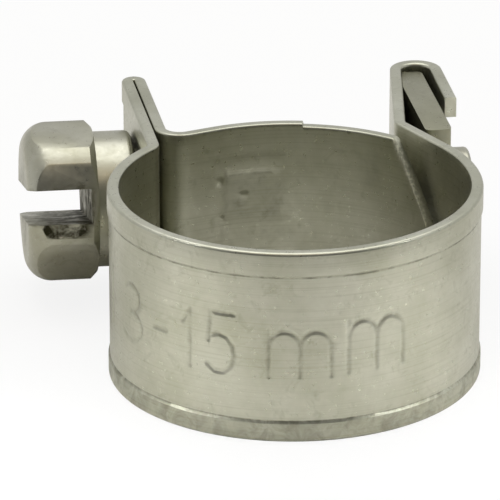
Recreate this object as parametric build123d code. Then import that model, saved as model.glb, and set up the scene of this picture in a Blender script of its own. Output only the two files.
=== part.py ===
from build123d import *
from math import cos, radians, sin, tan
import os

# Small nut-and-bolt hose clamp, standing on the lower edge of its band.
# Frame: the bore's axis is Z and the band's middle is z = 0, the ears point to +Y and the
# screw's head is at -X. Sizes are millimetres, angles are degrees.

# --- strip: the section that runs along its whole length ---
BAND_WIDTH = 9.0
BAND_THICKNESS = 0.48
RIM_WIDTH = 1.0             # raised along each long edge, on the outer face
RIM_HEIGHT = 0.07
RIM_SLOPE = 0.12            # width of the sloping step beside each rim
OUTER_EDGE_CHAMFER = 0.14
BORE_EDGE_CHAMFER = 0.08

# --- ring: the bore's own arc at the front and left, a wider one at the right ---
BORE_RADIUS = 7.8
WIDE_RADIUS = 8.3           # stands off the bore, so that the bridge slides inside it
WIDE_FROM = -70.0           # where the wide arc takes over, measured round the bore from +X
FLANK_ANGLE = 32.8          # slope of the straight flank below the right ear
FLANK_LENGTH = 3.27

# --- right ear, and the hook that holds the nut ---
RIGHT_ROOT_RADIUS = 1.3
RIGHT_EAR_LENGTH = 6.9
HOOK_RADIUS = 1.24
LIP_LEAN = 8.0
LIP_LENGTH = 4.15
LIP_HORN = 1.0              # width of the lip at each side of its notch
NOTCH_CORNER_RADIUS = 1.6

# --- left ear: two layers under a closed fold ---
LEFT_ROOT_AT = 143.2        # where the ear's root begins, measured round the bore from +X
LEFT_ROOT_RADIUS = 0.9
LEFT_EAR_LEAN = 9.3
LEFT_EAR_LENGTH = 8.5
SEAM_GAP = 0.06             # between the two layers

# --- bridge: the inner end of the strip, closing the gap between the ears ---
BRIDGE_BEND_RADIUS = 1.2
BRIDGE_FROM = 116.4         # where the bridge joins the bore's circle
BRIDGE_STEP_AT = 86.0       # where it loses its rims, to slide inside the band
BRIDGE_CORNER_AT = 53.5     # where its end starts to taper
BRIDGE_INSET = 0.15         # how much narrower it is at each edge after the step
TIP_LENGTH = 2.6
TIP_ROUND = 1.6

# --- screw: slotted hexagon head with a round collar ---
SCREW_DIAMETER = 4.0
SCREW_TILT = 7.1            # lean of the screw's axis from X towards +Y
SCREW_PAST_NUT = 1.6
SCREW_TIP_DIAMETER = 3.4    # short unthreaded end that leads into the nut
SCREW_TIP_LENGTH = 0.9
SCREW_TIP_CHAMFER = 0.2
COLLAR_DIAMETER = 6.4
COLLAR_LENGTH = 1.85
COLLAR_EDGE_CHAMFER = 0.3
HEAD_FLATS = 6.9
HEAD_CORNERS = 7.5          # turned diameter that trims the hexagon's corners
HEAD_LENGTH = 3.3
HEAD_TURN = 25.0            # how far the front flat looks up
HEAD_DOME_LENGTH = 1.2
HEAD_END_DIAMETER = 5.7     # flat left at the outer end, inside the dome
HEAD_BACK_CHAMFER = 0.3
SLOT_WIDTH = 1.6
SLOT_DEPTH = 2.95
SLOT_TURN = 16.0            # how far the slot rises from back to front

# --- nut: a flat block with the thread for the screw ---
NUT_LENGTH = 7.95
NUT_HEIGHT = 8.5
NUT_THICKNESS = 1.25
NUT_CORNER_ROUND = 0.3
NUT_SEAT_LENGTH = 1.95      # flat on its far inner corner, which beds on the right ear
NUT_LEAN = 8.7              # of the block, a little more than its screw's

# --- fits ---
THREAD_CLEARANCE = 0.03     # radial, between the screw and the nut's bore
HOLE_CLEARANCE = 0.35       # radial, between the screw and the openings in the band
COLLAR_GAP = 0.03           # from the collar to the left ear, where they are closest
NUT_SEAT_GAP = 0.02         # from the nut to the right ear, where they are closest
NUT_END_GAP = 0.55          # from the nut's far end to the top of the hook

SCREW_RADIUS = SCREW_DIAMETER / 2
COLLAR_RADIUS = COLLAR_DIAMETER / 2
OPENING_RADIUS = SCREW_RADIUS + HOLE_CLEARANCE
RIM_FACE = BAND_THICKNESS + RIM_HEIGHT
UP = Vector(0, 0, 1)


def direction(angle):
    """Unit vector in plan, at an angle from +X."""
    return Vector(cos(radians(angle)), sin(radians(angle)), 0)


class Strip:
    """A strip laid out in plan by runs and bends, like sheet in a forming tool.

    The point walks along the face that looks into the bore. The thickness lies on the
    side given by outward: +90 is left of the walk, -90 is right of it.
    """

    def __init__(self, point, heading, outward, section):
        self.point = point
        self.heading = heading
        self.outward = outward
        self.section = section
        self.solids = []

    def across(self):
        return direction(self.heading + self.outward)

    def placed_section(self):
        plane = Plane(self.point, x_dir=self.across(), z_dir=self.across().cross(UP))
        return plane * self.section

    def run(self, length):
        along = direction(self.heading)
        self.solids.append(extrude(self.placed_section(), length, dir=along))
        self.point += along * length

    def bend(self, radius, angle):
        """Bend by an angle, left where it is positive; the radius is the walked face's."""
        side = 90 if angle > 0 else -90
        centre = self.point + direction(self.heading + side) * radius
        axis = Axis(centre, UP if angle > 0 else -UP)
        self.solids.append(revolve(self.placed_section(), axis, abs(angle)))
        self.heading += angle
        self.point = centre - direction(self.heading + side) * radius

    def here(self):
        return Place(self.point, self.heading, self.across())


class Place:
    """Somewhere on the strip: a point of the bore-side face, its run and its normal."""

    def __init__(self, point, heading, across):
        self.point = point
        self.along = direction(heading)
        self.across = across
        self.heading = heading


def band_section():
    """Flat towards the bore, with a raised rim along each outer edge."""
    half = BAND_WIDTH / 2
    foot = half - RIM_WIDTH
    upper = [(BAND_THICKNESS, foot), (RIM_FACE, foot + RIM_SLOPE), (RIM_FACE, half), (0, half)]
    lower = [(x, -y) for x, y in reversed(upper)]
    face = make_face(Polyline(*upper, *lower, close=True))
    by_height = face.vertices().group_by(Axis.Y)
    corners = by_height[0] + by_height[-1]
    face = chamfer(corners.group_by(Axis.X)[-1], OUTER_EDGE_CHAMFER)
    bore_corners = face.vertices().group_by(Axis.X)[0]
    return chamfer(bore_corners, BORE_EDGE_CHAMFER)


def bridge_section():
    """The narrow end of the bridge: plain, with no rims."""
    width = BAND_WIDTH - 2 * BRIDGE_INSET
    face = Rectangle(BAND_THICKNESS, width, align=(Align.MIN, Align.CENTER))
    return chamfer(face.vertices(), BORE_EDGE_CHAMFER)


def cross(a, b):
    """Turn from one direction in plan to another, as the sine of the angle."""
    return a.X * b.Y - a.Y * b.X


def right_side():
    """Wide arc's end to the lip, walked anticlockwise with the thickness on the right."""
    wide_centre = direction(WIDE_FROM) * (BORE_RADIUS - WIDE_RADIUS)
    start = wide_centre + direction(FLANK_ANGLE) * WIDE_RADIUS
    strip = Strip(start, FLANK_ANGLE + 90, -90, band_section())
    strip.run(FLANK_LENGTH)
    strip.bend(RIGHT_ROOT_RADIUS, -FLANK_ANGLE)
    places = {"right_ear": strip.here()}
    strip.run(RIGHT_EAR_LENGTH)
    places["hook"] = strip.here()
    strip.bend(HOOK_RADIUS, LIP_LEAN - 180)
    places["lip"] = strip.here()
    strip.run(LIP_LENGTH)
    return strip, places


def left_side():
    """Ring, left ear and bridge, walked clockwise with the thickness on the left."""
    wide_centre = direction(WIDE_FROM) * (BORE_RADIUS - WIDE_RADIUS)
    start = wide_centre + direction(FLANK_ANGLE) * WIDE_RADIUS
    strip = Strip(start, FLANK_ANGLE - 90, 90, band_section())
    strip.bend(WIDE_RADIUS, WIDE_FROM - FLANK_ANGLE)
    strip.bend(BORE_RADIUS, LEFT_ROOT_AT - 360 - WIDE_FROM)
    ear_heading = 90 + LEFT_EAR_LEAN
    strip.bend(LEFT_ROOT_RADIUS, ear_heading - (LEFT_ROOT_AT - 90))
    strip.heading = ear_heading
    places = {"left_ear": strip.here()}
    strip.run(LEFT_EAR_LENGTH)
    strip.bend(SEAM_GAP / 2, -180)

    # The run down the ear and the run up to the bore's circle meet in one bend that
    # touches both, so their lengths follow from where the two lines cross.
    joins_at = direction(BRIDGE_FROM) * BORE_RADIUS
    turn = BRIDGE_FROM - 90 - strip.heading
    down = direction(strip.heading)
    up = direction(BRIDGE_FROM - 90)
    to_join = joins_at - strip.point
    setback = BRIDGE_BEND_RADIUS * tan(radians(turn / 2))
    strip.run(cross(to_join, up) / cross(down, up) - setback)
    strip.bend(BRIDGE_BEND_RADIUS, turn)
    strip.run(cross(down, to_join) / cross(down, up) - setback)
    strip.bend(BORE_RADIUS, BRIDGE_STEP_AT - BRIDGE_FROM)
    return strip, places


def bridge_end():
    """The narrow end of the bridge, with its tapered and rounded tip."""
    tip_angle = TIP_LENGTH / radians(1) / BORE_RADIUS
    start = direction(BRIDGE_STEP_AT) * BORE_RADIUS
    strip = Strip(start, BRIDGE_STEP_AT - 90, 90, bridge_section())
    strip.bend(BORE_RADIUS, BRIDGE_CORNER_AT - tip_angle - BRIDGE_STEP_AT)

    half = BAND_WIDTH / 2
    taper = Polyline((0, -half), (TIP_LENGTH, 0), (0, half))
    taper = fillet(taper.vertices().sort_by(Axis.X)[-1], TIP_ROUND)
    beyond = Polyline((0, half), (0, BAND_WIDTH), (BAND_WIDTH, BAND_WIDTH),
                      (BAND_WIDTH, -BAND_WIDTH), (0, -BAND_WIDTH), (0, -half))
    waste = make_face(taper.edges() + beyond.edges())
    tip_middle = BRIDGE_CORNER_AT - tip_angle / 2
    corner = direction(BRIDGE_CORNER_AT) * BORE_RADIUS
    outward = direction(tip_middle)
    plane = Plane(corner, x_dir=direction(tip_middle - 90), z_dir=outward)
    cutter = extrude(plane * waste, BORE_RADIUS / 2, both=True)
    return strip.solids[0] - cutter


def lay_out():
    """Everything of the band before its openings, and the places on it."""
    right, right_places = right_side()
    left, left_places = left_side()
    places = {**right_places, **left_places}
    solid = Part() + right.solids + left.solids + [bridge_end()]
    return solid, places


def nut_seat(places):
    """X of the plane, just off the right ear's rims, that the nut's flat lies in."""
    return places["right_ear"].point.X + RIM_FACE + NUT_SEAT_GAP


def screw_axis(places):
    """Centre of the nut on the screw's axis, and the axis itself.

    The nut leans in its hook. The flat on its far inner corner beds on the rims of the
    right ear, and its far end stops short of the top of the hook.
    """
    to_seat = NUT_LENGTH / 2 - NUT_SEAT_LENGTH
    half = NUT_THICKNESS / 2
    seat_to_centre = to_seat * sin(radians(NUT_LEAN)) + half * cos(radians(NUT_LEAN))
    hook_top = places["hook"].point.Y + HOOK_RADIUS - BAND_THICKNESS
    x = nut_seat(places) + seat_to_centre
    y = hook_top - NUT_END_GAP - NUT_LENGTH / 2 * cos(radians(NUT_LEAN))
    return Vector(x, y, 0), direction(SCREW_TILT)


def crossing(place, centre, along, depth=0):
    """Distance along the screw's axis from the nut's centre to a flat of the strip."""
    target = place.point + place.across * depth
    return (target - centre).dot(place.across) / along.dot(place.across)


def on_axis(centre, along, distance):
    """Plane square to the screw's axis, its local y in plan and its local x straight down."""
    return Plane(centre + along * distance, x_dir=-UP, z_dir=along)


def band(solid, places, centre, along):
    """The folded strip with its screw holes and the notch in its lip."""
    for name in ("left_ear", "right_ear"):
        distance = crossing(places[name], centre, along)
        hole_plane = on_axis(centre, along, distance)
        solid -= extrude(hole_plane * Circle(OPENING_RADIUS), 4 * RIM_FACE, both=True)

    lip = places["lip"]
    straddle = centre + along * crossing(lip, centre, along)
    to_end = LIP_LENGTH - (straddle - lip.point).dot(lip.along)
    width = BAND_WIDTH - 2 * LIP_HORN
    plane = Plane(straddle, x_dir=lip.along, z_dir=lip.across)
    notch = Pos(-OPENING_RADIUS, 0) * Rectangle(
        OPENING_RADIUS + to_end + RIM_FACE, width, align=(Align.MIN, Align.CENTER))
    notch = fillet(notch.vertices().group_by(Axis.X)[0], NOTCH_CORNER_RADIUS)
    return solid - extrude(plane * notch, 4 * RIM_FACE, both=True)


def nut(places, centre, along):
    """Flat block with rounded corners, a flat for the ear and the bore for the screw."""
    outline = on_axis(centre, direction(NUT_LEAN), 0) * Rectangle(NUT_HEIGHT, NUT_LENGTH)
    block = extrude(outline, NUT_THICKNESS / 2, both=True)
    beyond_seat = Pos(nut_seat(places), centre.Y) * Box(
        NUT_THICKNESS, 2 * NUT_LENGTH, 2 * NUT_HEIGHT,
        align=(Align.MAX, Align.CENTER, Align.CENTER))
    block = block - beyond_seat
    ends = block.edges().filter_by(Axis.Z).sort_by(Axis.Y)
    block = fillet([*ends[:2], ends[-1]], NUT_CORNER_ROUND)
    bore = Circle(SCREW_RADIUS + THREAD_CLEARANCE)
    return block - extrude(on_axis(centre, along, 0) * bore, NUT_THICKNESS, both=True)


def head():
    """Hexagon head along local Z, from its back face at 0 to its slotted end."""
    hexagon = RegularPolygon(HEAD_FLATS / 2, 6, major_radius=False, rotation=HEAD_TURN)
    prism = extrude(hexagon, HEAD_LENGTH)
    radius = HEAD_CORNERS / 2
    end_radius = HEAD_END_DIAMETER / 2
    shoulder = HEAD_LENGTH - HEAD_DOME_LENGTH
    outline = Polyline((0, HEAD_LENGTH), (0, 0), (radius - HEAD_BACK_CHAMFER, 0),
                       (radius, HEAD_BACK_CHAMFER), (radius, shoulder))
    dome = TangentArc((radius, shoulder), (end_radius, HEAD_LENGTH), tangent=(0, 1))
    top = Line((end_radius, HEAD_LENGTH), (0, HEAD_LENGTH))
    profile = make_face(outline.edges() + dome.edges() + top.edges())
    turned = revolve(Plane.XZ * profile, Axis.Z)
    slot = Pos(0, 0, HEAD_LENGTH) * Rot(0, 0, SLOT_TURN) * Box(
        SLOT_WIDTH, 3 * radius, 2 * SLOT_DEPTH)
    return (prism & turned) - slot


def screw(places, centre, along):
    """Shank from the tip to the collar, then the collar and the head."""
    lean = places["left_ear"].heading - 90 - SCREW_TILT
    stand_off = COLLAR_GAP + COLLAR_RADIUS * abs(tan(radians(lean)))
    seat = crossing(places["left_ear"], centre, along, BAND_THICKNESS) - stand_off
    tip = NUT_THICKNESS / 2 + SCREW_PAST_NUT
    shoulder = tip - SCREW_TIP_LENGTH
    end = extrude(on_axis(centre, along, tip) * Circle(SCREW_TIP_DIAMETER / 2),
                  -SCREW_TIP_LENGTH)
    end = chamfer(end.edges().sort_by(Axis.X)[-1], SCREW_TIP_CHAMFER)
    shank = extrude(on_axis(centre, along, shoulder) * Circle(SCREW_RADIUS), seat - shoulder)
    collar = extrude(on_axis(centre, along, seat) * Circle(COLLAR_RADIUS), -COLLAR_LENGTH)
    collar = chamfer(collar.edges().sort_by(Axis.X)[-1], COLLAR_EDGE_CHAMFER)
    back = Plane(centre + along * (seat - COLLAR_LENGTH), x_dir=-UP, z_dir=-along)
    return end + shank + collar + back * head()


body, places = lay_out()
nut_centre, axis_direction = screw_axis(places)
nodes = {
    "band": band(body, places, nut_centre, axis_direction),
    "screw": screw(places, nut_centre, axis_direction),
    "nut": nut(places, nut_centre, axis_direction),
}
os.makedirs("parts", exist_ok=True)
for name, node in nodes.items():
    export_step(node, f"parts/{name}.step")
    box = node.bounding_box()
    print(name, len(node.solids()), "solid", round(node.volume, 2), "mm3", box)
print("screw axis through", nut_centre, "along", axis_direction)
for name, place in places.items():
    print(name, place.point, "heading", round(place.heading, 2))
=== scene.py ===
# %% [markdown]
# # An ear hose clamp
# This clamp closes round a hose of 13 to 15 mm. It has three real pieces: one folded strip of
# plated steel, a slotted hexagon screw, and a flat nut held in a hook of the strip. The packed
# CAD model gives every place and size, so the script starts by loading it as a fixed frame.

# %% Load the fixed frame
from math import atan2, cos, degrees, hypot, pi, radians, sin, sqrt, tan

import bmesh
import bpy
from mathutils import Matrix, Vector


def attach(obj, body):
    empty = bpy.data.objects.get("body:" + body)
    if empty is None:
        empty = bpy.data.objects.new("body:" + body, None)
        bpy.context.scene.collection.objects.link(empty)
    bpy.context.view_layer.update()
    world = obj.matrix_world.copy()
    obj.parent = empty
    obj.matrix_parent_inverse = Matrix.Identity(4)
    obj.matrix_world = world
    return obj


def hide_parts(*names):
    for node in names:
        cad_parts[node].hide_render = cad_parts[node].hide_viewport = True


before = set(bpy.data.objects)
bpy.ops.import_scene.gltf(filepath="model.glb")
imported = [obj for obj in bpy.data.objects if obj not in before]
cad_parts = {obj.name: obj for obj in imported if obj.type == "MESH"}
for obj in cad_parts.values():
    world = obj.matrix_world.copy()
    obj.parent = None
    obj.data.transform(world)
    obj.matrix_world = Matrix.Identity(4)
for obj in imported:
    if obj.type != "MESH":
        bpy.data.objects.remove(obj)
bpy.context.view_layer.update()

# %% [markdown]
# The pieces are modelled in millimetres, because the real sizes are easy to read that way. One
# helper scales a finished piece to metres, so that its object sits at the origin, unturned, and
# its place is in its mesh. Another puts it on its body, in the place of its CAD node.

# %% A finished piece
MM = 0.001
UP = Vector((0, 0, 1))


def direction(angle):
    """Unit vector in plan, at an angle in degrees from +X."""
    return Vector((cos(radians(angle)), sin(radians(angle)), 0))


def mesh_object(bm, name):
    """Object from a bmesh that is drawn in millimetres."""
    mesh = bpy.data.meshes.new(name)
    bmesh.ops.scale(bm, vec=(MM, MM, MM), verts=bm.verts)
    bm.to_mesh(mesh)
    bm.free()
    piece = bpy.data.objects.new(name, mesh)
    bpy.context.scene.collection.objects.link(piece)
    return piece


def smooth_by_angle(piece, angle=35):
    """Smooth shading with the edges sharper than an angle kept crisp."""
    piece.data.polygons.foreach_set("use_smooth", [True] * len(piece.data.polygons))
    piece.data.set_sharp_from_angle(angle=radians(angle))


def stand_for(piece, node, body, material):
    """The piece shows in place of a CAD node, on its body and with its finish."""
    piece.data.materials.clear()
    piece.data.materials.append(material)
    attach(piece, body)
    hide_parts(node)
    triangles = sum(len(p.vertices) - 2 for p in piece.data.polygons)
    print(piece.name, "stands for", node, "with", triangles, "triangles")


# %% [markdown]
# Holes, slots and trims are cut with booleans and planes, as a punch or a saw cuts the real
# steel. The modifiers are baked at once, so that what is left is plain geometry.

# %% Cutting tools
ROD_SIDES = 72


def apply_modifiers(piece):
    """Bake the live modifiers into the mesh."""
    graph = bpy.context.evaluated_depsgraph_get()
    mesh = bpy.data.meshes.new_from_object(piece.evaluated_get(graph))
    piece.modifiers.clear()
    old = piece.data
    piece.data = mesh
    mesh.name = piece.name
    bpy.data.meshes.remove(old)


def cut(piece, cutter, operation="DIFFERENCE"):
    """Boolean of a piece with a cutter, which is then thrown away."""
    boolean = piece.modifiers.new("cut", "BOOLEAN")
    boolean.operation = operation
    boolean.solver = "EXACT"
    boolean.object = cutter
    apply_modifiers(piece)
    bpy.data.objects.remove(cutter)


def slice_off(bm, point, normal):
    """Take away what lies beyond a plane, and close the opening with a face."""
    made = bmesh.ops.bisect_plane(bm, geom=bm.verts[:] + bm.edges[:] + bm.faces[:],
                                  plane_co=point, plane_no=normal, clear_outer=True)["geom_cut"]
    rim = [g for g in made if isinstance(g, bmesh.types.BMEdge)]
    bmesh.ops.contextual_create(bm, geom=rim)


def rod(radius, length):
    """Round bar up its own Z, with its middle at the origin."""
    bm = bmesh.new()
    bmesh.ops.create_cone(bm, cap_ends=True, segments=ROD_SIDES, radius1=radius,
                          radius2=radius, depth=length)
    return bm


def block(*size):
    """Box of three sizes, with its middle at the origin."""
    bm = bmesh.new()
    bmesh.ops.create_cube(bm, size=1)
    bmesh.ops.scale(bm, verts=bm.verts, vec=size)
    return bm


def turn_all(bm, angle, axis="Z"):
    """Turn everything round the origin, by an angle in degrees."""
    bmesh.ops.rotate(bm, verts=bm.verts, cent=(0, 0, 0),
                     matrix=Matrix.Rotation(radians(angle), 3, axis))


print("a round cutter has", ROD_SIDES, "sides")

# %% [markdown]
# ## The camera
# The clamp stands on one edge of its band and is seen from a little above. A long lens keeps
# the ring's upright walls nearly parallel.

# %% Camera
SENSOR_WIDTH = 36
LENS = 360
CAMERA_DISTANCE = 226.8
CAMERA_DROP = 22.07         # degrees below the horizon
CAMERA_AIM = (-1.88, 0.0, 1.316)

camera_data = bpy.data.cameras.new("camera")
camera_data.sensor_width = SENSOR_WIDTH
camera_data.lens = LENS
camera = bpy.data.objects.new("camera", camera_data)
bpy.context.scene.collection.objects.link(camera)
bpy.context.scene.camera = camera
back_off = Vector((0, -cos(radians(CAMERA_DROP)), sin(radians(CAMERA_DROP))))
camera.location = (Vector(CAMERA_AIM) + back_off * CAMERA_DISTANCE) * MM
camera.rotation_euler = (radians(90 - CAMERA_DROP), 0, 0)
print("camera at", tuple(round(c / MM, 1) for c in camera.location), "mm")

# %% [markdown]
# ## Materials
# All three pieces are steel with a thin nickel-zinc plating that was tumbled, not polished. It
# reflects softly, with a warm grey tone, and its surface is dotted with fine pits. One helper
# adds a node with its settings and links.

# %% Colour and node helpers


def colour(code):
    """Linear RGBA from an sRGB hex code."""
    parts = [int(code[i:i + 2], 16) / 255 for i in (1, 3, 5)]
    linear = [c / 12.92 if c <= 0.04045 else ((c + 0.055) / 1.055) ** 2.4 for c in parts]
    return (*linear, 1.0)


def add(tree, kind, settings=None, out=None, **inputs):
    """One node: its settings, then each input as a value or a link. Gives one output, or it."""
    node = tree.nodes.new(kind)
    for key, value in (settings or {}).items():
        setattr(node, key, value)
    for key, value in inputs.items():
        by_number = key[0] == "i" and key[1:].isdigit()
        socket = node.inputs[int(key[1:]) if by_number else key.replace("_", " ")]
        if isinstance(value, bpy.types.NodeSocket):
            tree.links.new(value, socket)
        else:
            socket.default_value = value
    return node if out is None else node.outputs[out]


def new_material(name):
    """Material with an empty node tree."""
    material = bpy.data.materials.new(name)
    material.use_nodes = True
    tree = material.node_tree
    tree.nodes.clear()
    return material, tree


print("mid grey #808080 is", round(colour("#808080")[0], 3), "in linear light")

# %% [markdown]
# A strip mill leaves fine lines along the steel, which the plating doesn't hide. They follow
# the strip round every bend, so no straight texture fits them. Each point of the strip carries
# a value named "along", its distance from the ring's right side in millimetres, and noise is
# stretched on that value and the height.

# %% The mill's lines
ROLL_LENGTH = 7.0           # mm, how far one rolling line runs
ROLL_SPACING = 0.09         # mm between lines: the real ones are finer and would not show
ROLL_TINT = "#c6c4b4"


def per_metre(size):
    """Noise scale, in features per metre, for a feature size in millimetres."""
    return 1 / (size * MM)


def rolling_lines(tree, place):
    """Noise stretched along the strip."""
    along = add(tree, "ShaderNodeAttribute", {"attribute_name": "along"}, out="Fac")
    height = add(tree, "ShaderNodeSeparateXYZ", out="Z", Vector=place)
    lengthwise = add(tree, "ShaderNodeMath", {"operation": "MULTIPLY"}, out=0, i0=along,
                     i1=1 / ROLL_LENGTH)
    crosswise = add(tree, "ShaderNodeMath", {"operation": "MULTIPLY"}, out=0, i0=height,
                    i1=per_metre(ROLL_SPACING))
    stretched = add(tree, "ShaderNodeCombineXYZ", out="Vector", X=lengthwise, Y=crosswise,
                    Z=0.0)
    return add(tree, "ShaderNodeTexNoise", out="Fac", Vector=stretched, Scale=1.0, Detail=2.0,
               Roughness=0.5)


print("rolling lines repeat", round(per_metre(ROLL_SPACING)), "times a metre")

# %% [markdown]
# Barrel plating gives one thin coat over everything, so the three pieces share one recipe. Soft
# clouds come from the coat's uneven thickness, small stains from drying, and pits from knocks
# in the barrel. A value on each piece's points says how much darker its colour is painted: dirt
# on the bridge's marks, painted shade in the creases at the rims' feet, in the small dent, the
# slot and the hollow, and a darker tone in the stamp and along the lower rim. A second value
# marks the strip's torn end, where a painted highlight brightens it. Image textures could do the
# same, but noise needs no files.

# %% Plated steel
PIT_SIZE = 0.22             # mm, pits of the plating, drawn coarser than they are so they show
STAIN_SIZE = 0.8            # mm, dried spots
CLOUD_SIZE = 3.2            # mm, soft patches of tone
PIT_DEPTH = 0.006           # mm
PLATING_ROUGHNESS = 0.32
DIRT_AND_SHADE_ROUGHNESS = 0.4        # added where dirt, painted shade and the burr's painted highlight cover the plating
STAIN_TINT = "#b9b7a6"
# dark colour for dirt and for painted shade
DIRT_AND_SHADE_TONE = "#3a3724"
# painted highlight on the strip's torn end
BURR_HIGHLIGHT_TONE = "#e6e5d4"
COVER = {"data_type": "RGBA", "blend_type": "MIX"}
TINT = {"data_type": "RGBA", "blend_type": "MULTIPLY"}


def plated_steel(name, light, dark, rolled=False):
    """Tumbled plating: cloudy warm grey with stains and fine pits, dirt and painted shade where the
    points carry them, and a painted highlight on the torn end.
    """
    material, tree = new_material(name)
    place = add(tree, "ShaderNodeTexCoord", out="Object")
    clouds = add(tree, "ShaderNodeTexNoise", out="Fac", Vector=place,
                 Scale=per_metre(CLOUD_SIZE), Detail=4.0, Roughness=0.6)
    stains = add(tree, "ShaderNodeTexNoise", out="Fac", Vector=place,
                 Scale=per_metre(STAIN_SIZE), Detail=3.0, Roughness=0.65, Distortion=0.6)
    pits = add(tree, "ShaderNodeTexNoise", out="Fac", Vector=place, Scale=per_metre(PIT_SIZE),
               Detail=3.0, Roughness=0.6)
    height = pits

    cloudy = add(tree, "ShaderNodeMapRange", out="Result", Value=clouds, From_Min=0.3,
                 From_Max=0.7, To_Min=0.0, To_Max=1.0)
    tone = add(tree, "ShaderNodeMix", COVER, out=2, Factor=cloudy, i6=colour(dark),
               i7=colour(light))
    stained = add(tree, "ShaderNodeMapRange", out="Result", Value=stains, From_Min=0.56,
                  From_Max=0.74, To_Min=0.0, To_Max=0.35)
    tone = add(tree, "ShaderNodeMix", TINT, out=2, Factor=stained, i6=tone,
               i7=colour(STAIN_TINT))
    if rolled:
        lines = rolling_lines(tree, place)
        lined = add(tree, "ShaderNodeMapRange", out="Result", Value=lines, From_Min=0.5,
                    From_Max=0.78, To_Min=0.0, To_Max=0.3)
        tone = add(tree, "ShaderNodeMix", TINT, out=2, Factor=lined, i6=tone,
                   i7=colour(ROLL_TINT))
        height = add(tree, "ShaderNodeMath", {"operation": "MULTIPLY_ADD"}, out=0, i0=lines,
                     i1=0.16, i2=pits)

    # dirt and painted shade: the points' value darkens the colour in patches
    dirt_and_shade = add(tree, "ShaderNodeAttribute", {"attribute_name": "dirt_and_shade"}, out="Fac")
    patchy = add(tree, "ShaderNodeMapRange", out="Result", Value=stains, From_Min=0.38,
                 From_Max=0.58, To_Min=0.25, To_Max=1.0)
    dirt_and_shade_share = add(tree, "ShaderNodeMath", {"operation": "MULTIPLY"}, out=0, i0=dirt_and_shade, i1=patchy)
    tone = add(tree, "ShaderNodeMix", COVER, out=2, Factor=dirt_and_shade_share, i6=tone,
               i7=colour(DIRT_AND_SHADE_TONE))
    # painted highlight on the torn end, broken up by the pits
    burr_highlight = add(tree, "ShaderNodeAttribute", {"attribute_name": "burr_highlight"}, out="Fac")
    ragged = add(tree, "ShaderNodeMapRange", out="Result", Value=pits, From_Min=0.45,
                 From_Max=0.6, To_Min=0.2, To_Max=1.0)
    torn_highlight = add(tree, "ShaderNodeMath", {"operation": "MULTIPLY"}, out=0, i0=burr_highlight, i1=ragged)
    tone = add(tree, "ShaderNodeMix", COVER, out=2, Factor=torn_highlight, i6=tone,
               i7=colour(BURR_HIGHLIGHT_TONE))

    covered = add(tree, "ShaderNodeMath", {"operation": "MAXIMUM"}, out=0, i0=dirt_and_shade_share, i1=burr_highlight)
    worn = add(tree, "ShaderNodeMapRange", out="Result", Value=pits, From_Min=0.3,
               From_Max=0.7, To_Min=PLATING_ROUGHNESS - 0.06, To_Max=PLATING_ROUGHNESS + 0.08)
    rough = add(tree, "ShaderNodeMath", {"operation": "MULTIPLY_ADD"}, out=0, i0=covered,
                i1=DIRT_AND_SHADE_ROUGHNESS, i2=worn)
    bump = add(tree, "ShaderNodeBump", out="Normal", Height=height, Strength=0.5,
               Distance=PIT_DEPTH * MM)
    shader = add(tree, "ShaderNodeBsdfPrincipled", out="BSDF", Metallic=1.0, Base_Color=tone,
                 Roughness=rough, Normal=bump)
    add(tree, "ShaderNodeOutputMaterial", Surface=shader)
    print("material", name, "with", len(tree.nodes), "nodes")
    return material


band_steel = plated_steel("tumbled_nickel_plated_strip", "#c4c4b5", "#abab98", rolled=True)
screw_steel = plated_steel("tumbled_nickel_plated_screw", "#bcbbad", "#a09e8a")
nut_steel = plated_steel("sheared_nickel_plated_nut", "#a6a591", "#8a8972")

# %% [markdown]
# ## The strip
# The band is one strip, rolled with a raised rim along each edge, then bent on a forming tool.
# It could be made flat and bent by a modifier, or built from separate plates. Here its section
# is drawn once and extruded slice by slice along the same runs and bends as the real strip, so
# the rims and the thickness come right in every bend.

# %% Sizes of the strip, in millimetres and degrees
BAND_WIDTH = 9.0
BAND_THICKNESS = 0.48
TOP_RIM_WIDTH = 1.18        # raised along each long edge, on the outer face
RIM_WIDTH = 1.0
RIM_HEIGHT = 0.07
RIM_SLOPE = 0.12
RIM_FOOT = 0.06             # width of the corner at the foot of each rim, where shade is painted
# painted shade in the crease at the foot of each rim
RIM_FOOT_SHADE = 0.6
LOWER_RIM_DARKENING = 0.3        # the lower rim's face is painted darker
OUTER_EDGE_ROUND = 0.15
BORE_EDGE_ROUND = 0.09
SECTION_ROWS = 20
BORE_RADIUS = 7.8
WIDE_RADIUS = 8.3           # the right side stands off, so that the bridge slides inside it
WIDE_FROM = -70.0
FLANK_ANGLE = 32.8
FLANK_LENGTH = 3.27
RIGHT_ROOT_RADIUS = 1.3
RIGHT_EAR_LENGTH = 6.9
HOOK_RADIUS = 1.24
LIP_LEAN = 8.0
LIP_LENGTH = 4.15
LIP_HORN = 1.0
NOTCH_CORNER_RADIUS = 1.6
LEFT_ROOT_AT = 143.2
LEFT_ROOT_RADIUS = 0.9
LEFT_EAR_LEAN = 9.3
LEFT_EAR_LENGTH = 8.5
SEAM_GAP = 0.06
BRIDGE_BEND_RADIUS = 1.2
BRIDGE_FROM = 116.4
BRIDGE_STEP_AT = 86.0
BRIDGE_CORNER_AT = 53.5
BRIDGE_INSET = 0.15
SCREW_TILT = 7.1
NUT_CENTRE = Vector((6.32116, 11.5996, 0))
OPENING_RADIUS = 2.35
RIM_FACE = BAND_THICKNESS + RIM_HEIGHT
HALF_WIDTH = BAND_WIDTH / 2
OUTER_RADIUS = BORE_RADIUS + BAND_THICKNESS
print("the strip is", BAND_WIDTH, "mm wide and", round(RIM_FACE, 2), "mm thick at its rims")

# %% [markdown]
# The section is one closed loop, with its four corners beveled as vertices before anything is
# extruded, so that every slice is already round at its edges. The corner at the foot of each
# rim carries painted shade from the start, the lower rim's face is painted darker, and each
# slice inherits both.

# %% The section, with rounded edges


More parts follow.
